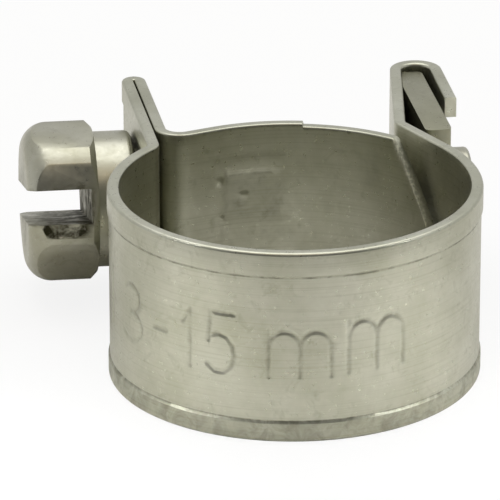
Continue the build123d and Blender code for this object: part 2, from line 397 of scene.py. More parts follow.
def strip_section(bm):
    """Closed loop of the strip's section, in the XZ plane with the thickness along +X."""
    foot, top = HALF_WIDTH - RIM_WIDTH, HALF_WIDTH - TOP_RIM_WIDTH
    outline = [(0, -HALF_WIDTH), (RIM_FACE, -HALF_WIDTH), (RIM_FACE, -foot - RIM_SLOPE),
               (BAND_THICKNESS, -foot), (BAND_THICKNESS, RIM_FOOT - foot),
               (BAND_THICKNESS, top - RIM_FOOT), (BAND_THICKNESS, top),
               (RIM_FACE, top + RIM_SLOPE), (RIM_FACE, HALF_WIDTH), (0, HALF_WIDTH)]
    verts = [bm.verts.new((x, 0, z)) for x, z in outline]
    dirt_and_shade = bm.verts.layers.float["dirt_and_shade"]
    # painted shade in the crease at the foot of each rim
    for corner in (verts[3], verts[6]):
        corner[dirt_and_shade] = RIM_FOOT_SHADE
    # the lower rim's face is painted darker
    for corner in verts[1:3]:
        corner[dirt_and_shade] = LOWER_RIM_DARKENING
    bm.faces.new(verts)
    rounds = ((OUTER_EDGE_ROUND, [verts[1], verts[8]]), (BORE_EDGE_ROUND, [verts[0], verts[9]]))
    for radius, corners in rounds:
        bmesh.ops.bevel(bm, geom=corners, offset=radius, offset_type="OFFSET", segments=4,
                        profile=0.5, affect="VERTICES", material=-1)
    bmesh.ops.delete(bm, geom=list(bm.faces), context="FACES_ONLY")
    wide = [e for e in bm.edges if e.calc_length() > 2 * RIM_WIDTH]
    bmesh.ops.subdivide_edges(bm, edges=wide, cuts=SECTION_ROWS)
    return list(bm.edges)


strip = bmesh.new()
for value_name in ("along", "dirt_and_shade", "burr_highlight"):
    strip.verts.layers.float.new(value_name)
section = strip_section(strip)
print("section", len(section), "edges")

# %% [markdown]
# A strip is bent by a list of runs and bends, so a small walker holds the point on the bore
# side, the heading and the open loop. A run extrudes straight slices, and a bend turns each
# new slice about the bend's middle. It also writes the distance walked for the mill's lines.

# %% The walker along the strip


class Walk:
    """The strip as it is bent: a point on its bore side, and the loop at its open end."""

    def __init__(self, bm, loop, point, heading):
        self.bm = bm
        self.loop = loop
        self.point = point.copy()
        self.heading = heading
        self.along = bm.verts.layers.float["along"]
        self.distance = 0.0

    def grow(self, turn, shift, pivot, length):
        """One slice: the open loop is extruded, turned about a pivot and shifted."""
        made = bmesh.ops.extrude_edge_only(self.bm, edges=self.loop)["geom"]
        verts = [g for g in made if isinstance(g, bmesh.types.BMVert)]
        fresh = set(verts)
        self.loop = [g for g in made if isinstance(g, bmesh.types.BMEdge)
                     and all(v in fresh for v in g.verts)]
        if turn:
            bmesh.ops.rotate(self.bm, verts=verts, cent=pivot,
                             matrix=Matrix.Rotation(radians(turn), 3, "Z"))
        bmesh.ops.translate(self.bm, verts=verts, vec=shift)
        self.distance += length
        for vert in verts:
            vert[self.along] = self.distance
        return verts

    def run(self, length, step=0.5):
        """Straight on, in slices about one step long."""
        count = max(1, round(length / step))
        for _ in range(count):
            self.grow(0, direction(self.heading) * length / count, None, length / count)
        self.point += direction(self.heading) * length

    def bend(self, radius, angle, step=0.35):
        """Round a bend of a radius on the bore side, by an angle in degrees."""
        side = 90 if angle > 0 else -90
        centre = self.point + direction(self.heading + side) * radius
        walked = abs(radians(angle)) * (radius + BAND_THICKNESS)
        count = max(6, round(walked / step))
        for _ in range(count):
            self.grow(angle / count, Vector(), centre, walked / count)
        self.heading += angle
        self.point = centre - direction(self.heading + side) * radius


wide_centre = direction(WIDE_FROM) * (BORE_RADIUS - WIDE_RADIUS)
start = wide_centre + direction(FLANK_ANGLE) * WIDE_RADIUS
turn_all(strip, FLANK_ANGLE)
bmesh.ops.translate(strip, verts=strip.verts, vec=start)
print("the strip starts at", tuple(round(c, 2) for c in start), "mm")

# %% [markdown]
# From the ring's right side the strip first runs up the flank and the right ear, then turns
# back over the top in the hook that holds the nut. The hook's lip ends in a flat cut.

# %% Flank, right ear, hook and lip
right = Walk(strip, section, start, FLANK_ANGLE + 90)
right.run(FLANK_LENGTH)
right.bend(RIGHT_ROOT_RADIUS, -FLANK_ANGLE)
right.run(RIGHT_EAR_LENGTH)
right.bend(HOOK_RADIUS, LIP_LEAN - 180, step=0.25)
lip_point, lip_heading = right.point.copy(), right.heading
right.run(LIP_LENGTH)
bmesh.ops.contextual_create(strip, geom=right.loop)
print("right side", round(right.distance, 1), "mm along")

# %% [markdown]
# The other way it goes round the ring, up the left ear, over a closed fold and down again. The
# bridge then crosses the gap between the ears inside the ring. Where the ear's inner layer
# meets the bridge is worked out from where their two lines cross, less the bend's setback.

# %% Ring, left ear, closed fold and bridge


def cross(a, b):
    """Cross product of two vectors in plan."""
    return a.x * b.y - a.y * b.x


left = Walk(strip, section, start, FLANK_ANGLE - 90)
left.bend(WIDE_RADIUS, WIDE_FROM - FLANK_ANGLE)
left.bend(BORE_RADIUS, LEFT_ROOT_AT - 360 - WIDE_FROM)
left.bend(LEFT_ROOT_RADIUS, 90 + LEFT_EAR_LEAN - (LEFT_ROOT_AT - 90), step=0.2)
left.heading = 90 + LEFT_EAR_LEAN       # the same way, but counted without the full turn
ear_point, ear_heading = left.point.copy(), left.heading
left.run(LEFT_EAR_LENGTH)
left.bend(SEAM_GAP / 2, -180, step=0.12)
joins_at = direction(BRIDGE_FROM) * BORE_RADIUS
turn = BRIDGE_FROM - 90 - left.heading
down, up = direction(left.heading), direction(BRIDGE_FROM - 90)
to_join = joins_at - left.point
setback = BRIDGE_BEND_RADIUS * tan(radians(turn / 2))
left.run(cross(to_join, up) / cross(down, up) - setback)
left.bend(BRIDGE_BEND_RADIUS, turn, step=0.2)
left.run(cross(down, to_join) / cross(down, up) - setback)
left.bend(BORE_RADIUS, BRIDGE_STEP_AT - BRIDGE_FROM)
print("left side", round(left.distance, 1), "mm along")

# %% [markdown]
# Past a small step the bridge has no rims and is a little narrower, so that it slides inside
# the ring. It ends in a tapered, rounded tip. The slices go on, and each is squeezed to the
# tip's width there. The tool tore the tip's inner edge, and its points there carry a painted
# highlight.

# %% The bridge's end
STEP_LENGTH = 0.05
TIP_LENGTH = 2.6
TIP_ROUND = 1.6
TIP_STEPS = 26
TIP_LEAST = 0.02            # half the width of the last slice, so that it stays a loop
BURR_SHARE = 0.97           # of half the width, past which a point is on the torn edge


def narrow_end(walk):
    """The step, the narrow part, and the tapered tip with its torn edge."""
    walk.run(STEP_LENGTH)
    for vert in {v for e in walk.loop for v in e.verts}:
        flat = Vector((vert.co.x, vert.co.y, 0))
        flat *= min(1, OUTER_RADIUS / flat.length)
        vert.co = flat + UP * vert.co.z * (1 - BRIDGE_INSET / HALF_WIDTH)
    walk.point = direction(BRIDGE_STEP_AT) * BORE_RADIUS
    walk.bend(BORE_RADIUS, BRIDGE_CORNER_AT - BRIDGE_STEP_AT)

    # points on the torn inner edge get a painted highlight
    burr_highlight = walk.bm.verts.layers.float["burr_highlight"]
    slope = HALF_WIDTH / TIP_LENGTH
    centre = TIP_LENGTH - TIP_ROUND * sqrt(1 + 1 / slope ** 2)
    touch = centre + TIP_ROUND * slope / sqrt(1 + slope ** 2)
    end = centre + TIP_ROUND
    done = 0.0
    for index in range(1, TIP_STEPS + 1):
        reach = end * sin(pi / 2 * index / TIP_STEPS)
        if reach < touch:
            wide = min(slope * (TIP_LENGTH - reach), HALF_WIDTH - BRIDGE_INSET)
        else:
            wide = max(sqrt(max(TIP_ROUND ** 2 - (reach - centre) ** 2, 0)), TIP_LEAST)
        now = max(abs(v.co.z) for e in walk.loop for v in e.verts)
        step = reach - done
        for vert in walk.grow(-degrees(step / BORE_RADIUS), Vector(), Vector(), step):
            inner = hypot(vert.co.x, vert.co.y) < BORE_RADIUS + BAND_THICKNESS / 3
            vert[burr_highlight] = float(inner and abs(vert.co.z) > BURR_SHARE * now)
            vert.co.z *= wide / now
        done = reach
    bmesh.ops.contextual_create(walk.bm, geom=walk.loop)


narrow_end(left)
bmesh.ops.recalc_face_normals(strip, faces=strip.faces)
print("strip", len(strip.faces), "faces")

# %% [markdown]
# The size range is stamped on the front of the ring: plain numbers and a unit. A font would
# give closed outlines, but the stamp's signs are single strokes, so each is drawn as a few
# lines and arcs in a unit box.

# %% Signs of the stamp


def arc(x, y, wide, tall, start, end, steps=8):
    """Points along part of an ellipse, in the unit box of a sign."""
    angles = [radians(start + (end - start) * i / steps) for i in range(steps + 1)]
    return [(x + wide * cos(a), y + tall * sin(a)) for a in angles]


SIGNS = {"1": [[(0, 0.76), (0.62, 1), (0.62, 0)]],
         "3": [arc(0.42, 0.76, 0.42, 0.24, 140, -90) + arc(0.4, 0.27, 0.58, 0.27, 90, -140)],
         "-": [[(0, 0.5), (1, 0.5)]],
         "5": [[(0.95, 1), (0.14, 1), (0.06, 0.52)] + arc(0.42, 0.33, 0.56, 0.33, 125, -140)],
         "m": [[(0, 1), (0, 0)], arc(0.25, 0.66, 0.25, 0.34, 180, 0) + [(0.5, 0)],
               arc(0.75, 0.66, 0.25, 0.34, 180, 0) + [(1, 0)]]}
STAMP = (("1", -11.5, -10.7, -1.35, 1.37), ("3", -9.35, -7.79, -1.35, 1.37),
         ("-", -6.9, -6.15, -0.2, 0.04), ("1", -5.22, -4.55, -1.36, 1.37),
         ("5", -3.92, -2.58, -1.4, 1.44), ("m", -1.05, 1.72, -1.36, 0.79),
         ("m", 2.5, 5.2, -1.26, 1.13))      # each with its left, right, foot and top, in mm


def stamp_strokes():
    """Straight pieces of every stroke, in millimetres along the ring and up."""
    pieces = []
    for sign, left_edge, right_edge, foot, top in STAMP:
        for stroke in SIGNS[sign]:
            points = [(left_edge + x * (right_edge - left_edge), foot + y * (top - foot))
                      for x, y in stroke]
            pieces += list(zip(points, points[1:]))
    return pieces


strokes = stamp_strokes()
print("the stamp has", len(STAMP), "signs in", len(strokes), "straight pieces")

# %% [markdown]
# A stamp pushes metal in with soft edges. A boolean would leave sharp walls, so the faces
# under a mark are divided finely, and each point sinks by a depth that falls off with its
# distance. The same step serves every mark, and it can also darken the colour of the points
# that it moves, for dirt and for painted shade.

# %% Pressing a mark
OUTER_SHARE = 0.8           # of the thickness, past which a face is on the outer side


def on_ring(point):
    """Millimetres along the outer face from the ring's front, and up."""
    around = degrees(atan2(point.y, point.x)) + 90
    return Vector((radians(around) * OUTER_RADIUS, point.z, 0))


def soft(distance, edge):
    """1 at no distance, falling smoothly to 0 at the edge."""
    near = max(0, 1 - distance / edge)
    return near * near * (3 - 2 * near)


def in_front(face, box):
    """Whether a face is on the ring's outer front, in a box of left, right, foot and top."""
    middle = face.calc_center_median()
    place = on_ring(middle)
    outside = hypot(middle.x, middle.y) > BORE_RADIUS + BAND_THICKNESS * OUTER_SHARE
    return (outside and middle.y < 0 and box[0] < place.x < box[1]
            and box[2] < place.y < box[3])


def press(bm, chosen, cuts, depth_at):
    """Divide the chosen faces finely, and sink each point towards the ring's middle."""
    dirt_and_shade = bm.verts.layers.float["dirt_and_shade"]
    edges = [e for e in bm.edges if any(chosen(f) for f in e.link_faces)]
    made = bmesh.ops.subdivide_edges(bm, edges=edges, cuts=cuts, use_grid_fill=True)
    verts = {g for g in made["geom_inner"] if isinstance(g, bmesh.types.BMVert)}
    verts |= {v for e in edges if e.is_valid for v in e.verts}
    sunk = 0
    for vert in verts:
        depth, darkening = depth_at(on_ring(vert.co))
        if depth or darkening:
            vert.co -= Vector((vert.co.x, vert.co.y, 0)).normalized() * depth
            vert[dirt_and_shade] = max(vert[dirt_and_shade], darkening)
            sunk += 1
    return sunk


print("marks are pressed into", len(strip.verts), "points, divided where they go")

# %% [markdown]
# The stamp is shallow, and its grooves are painted a little darker. Each point's depth follows
# from the nearest stroke, so corners and crossings come out round, as a worn stamp's do.

# %% Stamped size range
STAMP_DEPTH = 0.045
STAMP_EDGE = 0.17           # from a stroke's middle to where it fades out
# how much darker the stamp's grooves are painted
STAMP_DARKENING = 0.28
STAMP_BOX = (STAMP[0][1] - 0.5, STAMP[-1][2] + 0.5, -1.9, 1.9)
STROKE_REACH = 3.0          # along the ring, past which a stroke can't be near


def to_stroke(place, stroke):
    """Distance in millimetres from a place to a straight piece of a stroke."""
    (x0, y0), (x1, y1) = stroke
    run, rise = x1 - x0, y1 - y0
    share = ((place.x - x0) * run + (place.y - y0) * rise) / (run ** 2 + rise ** 2)
    share = min(max(share, 0), 1)
    return hypot(place.x - x0 - share * run, place.y - y0 - share * rise)


def stamp_depth(place):
    """How deep the stamp is at a place, and how much darker it is painted there."""
    near = [s for s in strokes if abs(s[0][0] - place.x) < STROKE_REACH]
    inside = soft(min([to_stroke(place, s) for s in near], default=STAMP_EDGE), STAMP_EDGE)
    return STAMP_DEPTH * inside, STAMP_DARKENING * inside


print("stamp:", press(strip, lambda face: in_front(face, STAMP_BOX), 5, stamp_depth),
      "points sunk")

# %% [markdown]
# Handling leaves shallow marks. Below the stamp the front has two dents, and the face of the
# bridge shows a soft pressed patch, two ridges beside it and a few beads of plating. Each mark
# is a rounded box with a soft edge, so all of them go through the same pressing step.

# %% Dents and pressed marks, in millimetres from the middle of each face
# the smaller dent is painted a little darker, as painted shade
DENTS = ((1.7, -2.75, 1.6, 0.2, 0.7, 0.02, 0.0), (0.95, -2.05, 0.1, 0.4, 0.25, 0.012, 0.08))
DENT_BOX = (-0.5, 3.6, -3.4, -1.95)
BRIDGE_MARKS = ((1.75, 0.95, 2.2, 1.7, 0.7, 0.014, 0.14), (1.9, 2.62, 2.6, 0.2, 0.5, -0.011, 0.0),
                (3.45, 1.3, 0.1, 4.0, 0.45, -0.008, 0.0), (3.05, 2.1, 0.05, 0.5, 0.16, 0.012, 0.35),
                (1.9, 2.1, 2.0, 0.0, 0.14, 0.004, 0.3), (3.38, 1.86, 0.0, 0.1, 0.22, -0.04, 0.0),
                (2.2, 1.06, 0.2, 0.0, 0.22, -0.035, 0.0), (3.29, 0.0, 0.0, 0.0, 0.18, -0.03, 0.0),
                (-3.9, 2.6, 0.3, 1.2, 0.7, 0.012, 0.12), (1.2, -1.0, 2.6, 0.0, 0.4, -0.007, 0.08))


def mark_depth(marks, across):
    """Summed depth and most darkening of soft boxes: middle x, z, width, height, edge, depth,
    darkening by dirt and painted shade.
    """
    depth = darkening = 0.0
    for x, z, wide, tall, edge, deep, dirt_and_shade in marks:
        away = hypot(max(abs(across.x - x) - wide / 2, 0), max(abs(across.y - z) - tall / 2, 0))
        share = soft(away, edge)
        depth, darkening = depth + deep * share, max(darkening, dirt_and_shade * share)
    return depth, darkening


print("dents:", press(strip, lambda face: in_front(face, DENT_BOX), 3,
                      lambda place: mark_depth(DENTS, place)), "points sunk")

# %% [markdown]
# The bridge's marks are on the side that looks into the ring. They are given from the bridge's
# own middle, which is half a turn from the front.

# %% Marks on the bridge's face
BRIDGE_BEHIND = 3.0         # mm behind the ring's middle, where the bridge is
BRIDGE_MARGIN = 0.3         # mm of plain face left along each edge
half_turn = Vector((pi * OUTER_RADIUS, 0, 0))


def on_bridge(face):
    """Whether a face is on the side of the bridge that looks into the ring."""
    middle = face.calc_center_median()
    return (middle.y > BRIDGE_BEHIND and hypot(middle.x, middle.y) < BORE_RADIUS + 0.05
            and abs(middle.z) < HALF_WIDTH - BRIDGE_MARGIN)


def bridge_depth(place):
    """The bridge's face looks inward, so what sinks there moves away from the middle."""
    scale = BORE_RADIUS / OUTER_RADIUS
    across = Vector(((place.x - half_turn.x) * scale, place.y, 0))
    depth, darkening = mark_depth(BRIDGE_MARKS, across)
    return -depth, darkening


print("bridge:", press(strip, on_bridge, 3, bridge_depth), "points moved")
band = mesh_object(strip, "folded_band")

# %% [markdown]
# The screw passes through a round hole in each ear, and the hook's lip is notched to clear it.
# Both openings are punched, so each is one solid cutter and one boolean.

# %% Screw holes through both ears
PUNCH_LENGTH = 17.0
PUNCH_MIDDLE = -8.1         # along the screw from the nut
axis = direction(SCREW_TILT)


def along_screw(bm, start):
    """Turn a bmesh drawn up its own Z onto the screw's axis, from a distance along it."""
    upright = Vector((0, 0, -1))
    turned_to = Matrix((upright, axis.cross(upright), axis)).transposed()
    bmesh.ops.rotate(bm, verts=bm.verts, cent=(0, 0, 0), matrix=turned_to)
    bmesh.ops.translate(bm, verts=bm.verts, vec=NUT_CENTRE + axis * start)
    return bm


punch = along_screw(rod(OPENING_RADIUS, PUNCH_LENGTH), PUNCH_MIDDLE)
cut(band, mesh_object(punch, "punch"))
print("holes", 2 * OPENING_RADIUS, "mm across")

# %% [markdown]
# The notch is open at the lip's end and round at its two inner corners. Its cutter is a block
# with two beveled edges, which is turned to the lip's lean before it is moved to the axis.

# %% The notch in the lip
NOTCH_REACH = 3.0           # thickness of the cutter, enough to pass the leaning lip


def notch_cutter():
    """Slot with two round corners, open at the lip's end."""
    across = direction(lip_heading - 90)
    along_axis = (lip_point - NUT_CENTRE).dot(across) / axis.dot(across)
    straddle = NUT_CENTRE + axis * along_axis
    to_end = LIP_LENGTH - (straddle - lip_point).dot(direction(lip_heading))
    length = OPENING_RADIUS + to_end + RIM_FACE
    notch = block(length, NOTCH_REACH, BAND_WIDTH - 2 * LIP_HORN)
    bmesh.ops.translate(notch, verts=notch.verts, vec=(length / 2 - OPENING_RADIUS, 0, 0))
    corners = [e for e in notch.edges if all(v.co.x < 0 for v in e.verts)
               and abs(e.verts[0].co.y - e.verts[1].co.y) > 1]
    bmesh.ops.bevel(notch, geom=corners, offset=NOTCH_CORNER_RADIUS, offset_type="OFFSET",
                    segments=12, profile=0.5, affect="EDGES", material=-1)
    turn_all(notch, lip_heading)
    bmesh.ops.translate(notch, verts=notch.verts, vec=straddle)
    return notch


cut(band, mesh_object(notch_cutter(), "notch"))
smooth_by_angle(band, 30)
stand_for(band, "band", "clamp", band_steel)

# %% [markdown]
# ## The screw
# The screw is cold-headed: a hexagon with domed corners and a sawn slot, a round collar, and a
# rolled M4 thread. Its parts are drawn up their own Z and then turned onto the leaning axis,
# because round and six-sided shapes are simplest to make upright. The collar seats on the left
# ear, and how far along the axis that is follows from where the axis meets the ear's face.

# %% Sizes of the screw, in millimetres and degrees
SCREW_RADIUS = 2.0
THREAD_PITCH = 0.7
THREAD_ROOT = 1.62
SCREW_PAST_NUT = 1.6
SCREW_TIP_RADIUS = 1.7
SCREW_TIP_LENGTH = 0.9
SCREW_TIP_CHAMFER = 0.2
COLLAR_RADIUS = 3.2
COLLAR_LENGTH = 1.85
COLLAR_EDGE_ROUND = 0.3
COLLAR_GAP = 0.03
HEAD_FLATS = 6.9
HEAD_CORNERS = 7.5
HEAD_LENGTH = 3.3
HEAD_TURN = 25.0
HEAD_DOME_LENGTH = 1.2
HEAD_END_DIAMETER = 5.7
HEAD_BACK_CHAMFER = 0.3
HEAD_EDGE_ROUND = 0.16
SLOT_WIDTH = 1.6
SLOT_DEPTH = 2.95
SLOT_TURN = 16.0
OVERLAP = 0.1               # of the thread into the collar, and of the tip into the thread
NUT_THICKNESS = 1.25

ear_across = direction(ear_heading + 90)
ear_face = ear_point + ear_across * BAND_THICKNESS
stand_off = COLLAR_GAP + COLLAR_RADIUS * abs(tan(radians(ear_heading - 90 - SCREW_TILT)))
SEAT = (ear_face - NUT_CENTRE).dot(ear_across) / axis.dot(ear_across) - stand_off
TIP = NUT_THICKNESS / 2 + SCREW_PAST_NUT
print("collar seats at", round(SEAT, 3), "mm and the tip is at", round(TIP, 3), "mm")

# %% [markdown]
# A lathe shape is half a profile spun round its axis. Corners are beveled on the flat profile
# first, which costs far less than rounding the solid afterwards.

# %% Turned shapes
TURNED_STEPS = 96
DOME_STEPS = 12


def turned(profile, rounds=()):
    """Closed solid from half a profile of (radius, height) points, spun round Z."""
    bm = bmesh.new()
    verts = [bm.verts.new((r, 0, z)) for r, z in profile]
    bm.faces.new(verts)
    for index, radius in rounds:
        bmesh.ops.bevel(bm, geom=[verts[index]], offset=radius, offset_type="OFFSET",
                        segments=5, profile=0.5, affect="VERTICES", material=-1)
    bmesh.ops.delete(bm, geom=list(bm.faces), context="FACES_ONLY")
    middle = [e for e in bm.edges if all(abs(v.co.x) < 1e-6 for v in e.verts)]
    bmesh.ops.delete(bm, geom=middle, context="EDGES")
    bmesh.ops.spin(bm, geom=list(bm.verts) + list(bm.edges), cent=(0, 0, 0), axis=(0, 0, 1),
                   angle=2 * pi, steps=TURNED_STEPS, use_merge=True, use_duplicate=False)
    bmesh.ops.remove_doubles(bm, verts=bm.verts, dist=1e-5)
    bmesh.ops.recalc_face_normals(bm, faces=bm.faces)
    return bm


def dome_profile():
    """Outline that trims the hexagon: a back chamfer, the corners, and a rounded end."""
    radius, end = HEAD_CORNERS / 2, HEAD_END_DIAMETER / 2
    shoulder = HEAD_LENGTH - HEAD_DOME_LENGTH
    points = [(0, 0), (radius - HEAD_BACK_CHAMFER, 0), (radius, HEAD_BACK_CHAMFER)]
    rise, run = HEAD_DOME_LENGTH, radius - end
    bow = (rise ** 2 + run ** 2) / (2 * run)
    sweep = atan2(rise, bow - run)
    for index in range(DOME_STEPS + 1):
        angle = sweep * index / DOME_STEPS
        points.append((radius - bow * (1 - cos(angle)), shoulder + bow * sin(angle)))
    return points + [(0, HEAD_LENGTH)]


print("the head's outline has", len(dome_profile()), "points")

# %% [markdown]
# The head is a hexagonal prism that a turned shape trims, which is how a real head gets its
# domed corners. A saw then cuts the slot, and a slipping driver has worn a hollow at its lower
# edge. Shade is painted into the slot and the hollow on their points, darkest in the hollow and
# on the slot's floor.

# %% The slotted hexagon head
SLOT_CUTTER_LENGTH = 12.0
SCOOP_AT = (0.0, 3.72, 1.72)
SCOOP_SIZE = (0.46, 0.2, 1.05)
# painted shade in the hollow and the slot, deeper on the slot's floor than on its walls
SCOOP_SHADE = 0.95
SLOT_FLOOR_SHADE = 0.85
SLOT_WALL_SHADE = 0.4
ON_FACE = 0.02              # mm, how near a point lies to count as on a face
IN_SCOOP = 1.03             # a little over 1, so that points on the hollow's skin count


def round_edges(piece, width, segments, angle=28):
    """Round every edge that is sharper than an angle."""
    bevel = piece.modifiers.new("round", "BEVEL")
    bevel.width = width * MM
    bevel.segments = segments
    bevel.limit_method = "ANGLE"
    bevel.angle_limit = radians(angle)
    bevel.profile = 0.5
    bevel.material = -1
    apply_modifiers(piece)


def scoop():
    """The hollow, as a cutter."""
    bm = bmesh.new()
    bmesh.ops.create_uvsphere(bm, u_segments=40, v_segments=20, radius=1)
    bmesh.ops.scale(bm, verts=bm.verts, vec=SCOOP_SIZE)
    bmesh.ops.translate(bm, verts=bm.verts, vec=SCOOP_AT)
    return mesh_object(bm, "scoop")


def shade_slot(head):
    """Painted shade on the slot's sawn faces and in the hollow."""
    across = direction(SLOT_TURN)
    floor_level = HEAD_LENGTH - SLOT_DEPTH
    dirt_and_shade = head.data.attributes.new("dirt_and_shade", "FLOAT", "POINT")
    for vert, value in zip(head.data.vertices, dirt_and_shade.data):
        place = vert.co / MM
        from_scoop = place - Vector(SCOOP_AT)
        if sum((from_scoop[i] / SCOOP_SIZE[i]) ** 2 for i in range(3)) < IN_SCOOP:
            value.value = SCOOP_SHADE
        elif (abs(place.dot(across)) < SLOT_WIDTH / 2 + ON_FACE
              and place.z > floor_level - ON_FACE):
            on_floor = place.z < floor_level + ON_FACE
            value.value = SLOT_FLOOR_SHADE if on_floor else SLOT_WALL_SHADE


def hexagon_head():
    """The head up its own Z, from its back at 0 to its slotted end, with soft edges."""
    bm = bmesh.new()
    bmesh.ops.create_cone(bm, cap_ends=True, segments=6, radius1=HEAD_FLATS / sqrt(3),
                          radius2=HEAD_FLATS / sqrt(3), depth=HEAD_LENGTH)
    bmesh.ops.translate(bm, verts=bm.verts, vec=(0, 0, HEAD_LENGTH / 2))
    turn_all(bm, HEAD_TURN + 30)        # the first 30 degrees bring a corner to +X
    head = mesh_object(bm, "head")
    cut(head, mesh_object(turned(dome_profile()), "dome"), "INTERSECT")
    slot = block(SLOT_WIDTH, SLOT_CUTTER_LENGTH, 2 * SLOT_DEPTH)
    turn_all(slot, SLOT_TURN)
    bmesh.ops.translate(slot, verts=slot.verts, vec=(0, 0, HEAD_LENGTH))
    cut(head, mesh_object(slot, "slot"))
    round_edges(head, HEAD_EDGE_ROUND, 4)
    cut(head, scoop())
    shade_slot(head)
    print("head", len(head.data.polygons), "faces")
    return head


# %% [markdown]
# A thread is rolled, not cut, so its roots and crests are flat. One row of teeth is spun a full
# turn while it climbs one pitch, and meets itself a tooth further on. A screw modifier could
# do it too, but the spin leaves a plain mesh that two planes trim to length.

# %% The rolled thread
THREAD_STEPS = 64


def rolled_thread(length):
    """Thread up its own Z from 0, closed at both ends."""
    bm = bmesh.new()
    flat = THREAD_PITCH / 8
    flank = (THREAD_PITCH - 3 * flat) / 2
    teeth = int(length / THREAD_PITCH) + 2
    points = []
    for tooth in range(-1, teeth):
        z = tooth * THREAD_PITCH
        points += [(THREAD_ROOT, z), (THREAD_ROOT, z + 2 * flat),
                   (SCREW_RADIUS, z + 2 * flat + flank), (SCREW_RADIUS, z + 3 * flat + flank)]
    verts = [bm.verts.new((r, 0, z)) for r, z in points]
    edges = [bm.edges.new(pair) for pair in zip(verts, verts[1:])]
    bmesh.ops.spin(bm, geom=verts + edges, cent=(0, 0, 0), axis=(0, 0, 1), angle=2 * pi,
                   steps=THREAD_STEPS, dvec=(0, 0, THREAD_PITCH / THREAD_STEPS),
                   use_merge=False, use_duplicate=False)
    bmesh.ops.remove_doubles(bm, verts=bm.verts, dist=1e-4)
    for level, side in ((0, -1), (length, 1)):
        slice_off(bm, (0, 0, level), (0, 0, side))
    bmesh.ops.recalc_face_normals(bm, faces=bm.faces)
    print("thread", len(bm.faces), "faces, pitch", THREAD_PITCH, "mm")
    return bm


# %% [markdown]
# Head and collar are one forging, so they are joined. The thread and the tip only run a little
# way into their neighbours, because a join there would not be seen. The join spreads the slot's
# painted shade onto the collar, so everything past the back of the head is cleared of it again.

# %% The whole screw
BEHIND_HEAD = 0.05          # mm before the collar's start, from where the painted shade is cleared


def reopened(*pieces):
    """One bmesh in millimetres from the meshes of finished pieces."""
    bm = bmesh.new()
    for piece in pieces:
        bm.from_mesh(piece.data)
    bmesh.ops.scale(bm, vec=(1 / MM,) * 3, verts=bm.verts)
    return bm


def place_on_screw(piece, start, flip=False):
    """Turn a finished part of the screw onto its axis; flip it to face the other way."""
    bm = reopened(piece)
    if flip:
        turn_all(bm, 180, "X")
    along_screw(bm, start)
    bmesh.ops.scale(bm, vec=(MM,) * 3, verts=bm.verts)
    bm.to_mesh(piece.data)
    bm.free()
    return piece


def whole_screw():
    """Head, collar, thread and tip, each in its place along the axis."""
    collar = turned([(0, 0), (COLLAR_RADIUS, 0), (COLLAR_RADIUS, COLLAR_LENGTH),
                     (0, COLLAR_LENGTH)], [(2, COLLAR_EDGE_ROUND)])
    head = place_on_screw(hexagon_head(), SEAT - COLLAR_LENGTH, flip=True)
    collar = place_on_screw(mesh_object(collar, "collar"), SEAT - COLLAR_LENGTH)
    shoulder = TIP - SCREW_TIP_LENGTH
    thread = mesh_object(rolled_thread(shoulder - SEAT + OVERLAP), "thread")
    place_on_screw(thread, SEAT - OVERLAP)
    tip_length = SCREW_TIP_LENGTH + OVERLAP
    tip = turned([(0, 0), (SCREW_TIP_RADIUS, 0), (SCREW_TIP_RADIUS, tip_length),
                  (0, tip_length)], [(2, SCREW_TIP_CHAMFER)])
    tip = place_on_screw(mesh_object(tip, "tip"), shoulder - OVERLAP)
    cut(head, collar, "UNION")
    # clear the slot's painted shade off the collar
    behind = NUT_CENTRE + axis * (SEAT - COLLAR_LENGTH - BEHIND_HEAD)
    for vert, value in zip(head.data.vertices, head.data.attributes["dirt_and_shade"].data):
        if (vert.co / MM - behind).dot(axis) > 0:
            value.value = 0.0
    bm = reopened(head, thread, tip)
    for part in (head, thread, tip):
        bpy.data.objects.remove(part)
    return mesh_object(bm, "slotted_screw")


slotted_screw = whole_screw()
smooth_by_angle(slotted_screw, 35)
stand_for(slotted_screw, "screw", "screw", screw_steel)

# %% [markdown]
# ## The nut
# A plain block, sheared from flat bar and tapped. Its long inner corner is flattened where it
# beds on the ear. A cube is scaled to size, trimmed by one plane, and its edges are rounded.

# %% The nut
NUT_LENGTH = 7.95
NUT_HEIGHT = 8.5
NUT_CORNER_ROUND = 0.3
NUT_LEAN = 8.7
NUT_SEAT_LENGTH = 1.95
NUT_BORE_RADIUS = 2.03
NUT_EDGE_ROUND = 0.07
DRILL_LENGTH = 4.0


def flat_nut():
    """The block, leaning on the ear, with its seat flattened and its bore drilled."""
    bm = block(NUT_THICKNESS, NUT_LENGTH, NUT_HEIGHT)
    rounded = [e for e in bm.edges if abs(e.verts[0].co.z - e.verts[1].co.z) > 1
               and not (e.verts[0].co.x < 0 < e.verts[0].co.y)]     # all but the seat's corner
    bmesh.ops.bevel(bm, geom=rounded, offset=NUT_CORNER_ROUND, offset_type="OFFSET",
                    segments=6, profile=0.5, affect="EDGES", material=-1)
    turn_all(bm, NUT_LEAN)
    to_seat = NUT_LENGTH / 2 - NUT_SEAT_LENGTH
    lean = radians(NUT_LEAN)
    seat = -(to_seat * sin(lean) + NUT_THICKNESS / 2 * cos(lean))
    slice_off(bm, (seat, 0, 0), (-1, 0, 0))
    bmesh.ops.translate(bm, verts=bm.verts, vec=NUT_CENTRE)
    bmesh.ops.recalc_face_normals(bm, faces=bm.faces)
    nut = mesh_object(bm, "flat_nut")
    drill = along_screw(rod(NUT_BORE_RADIUS, DRILL_LENGTH), 0)
    cut(nut, mesh_object(drill, "drill"))
    round_edges(nut, NUT_EDGE_ROUND, 3)
    return nut


nut = flat_nut()
smooth_by_angle(nut, 35)
stand_for(nut, "nut", "clamp", nut_steel)

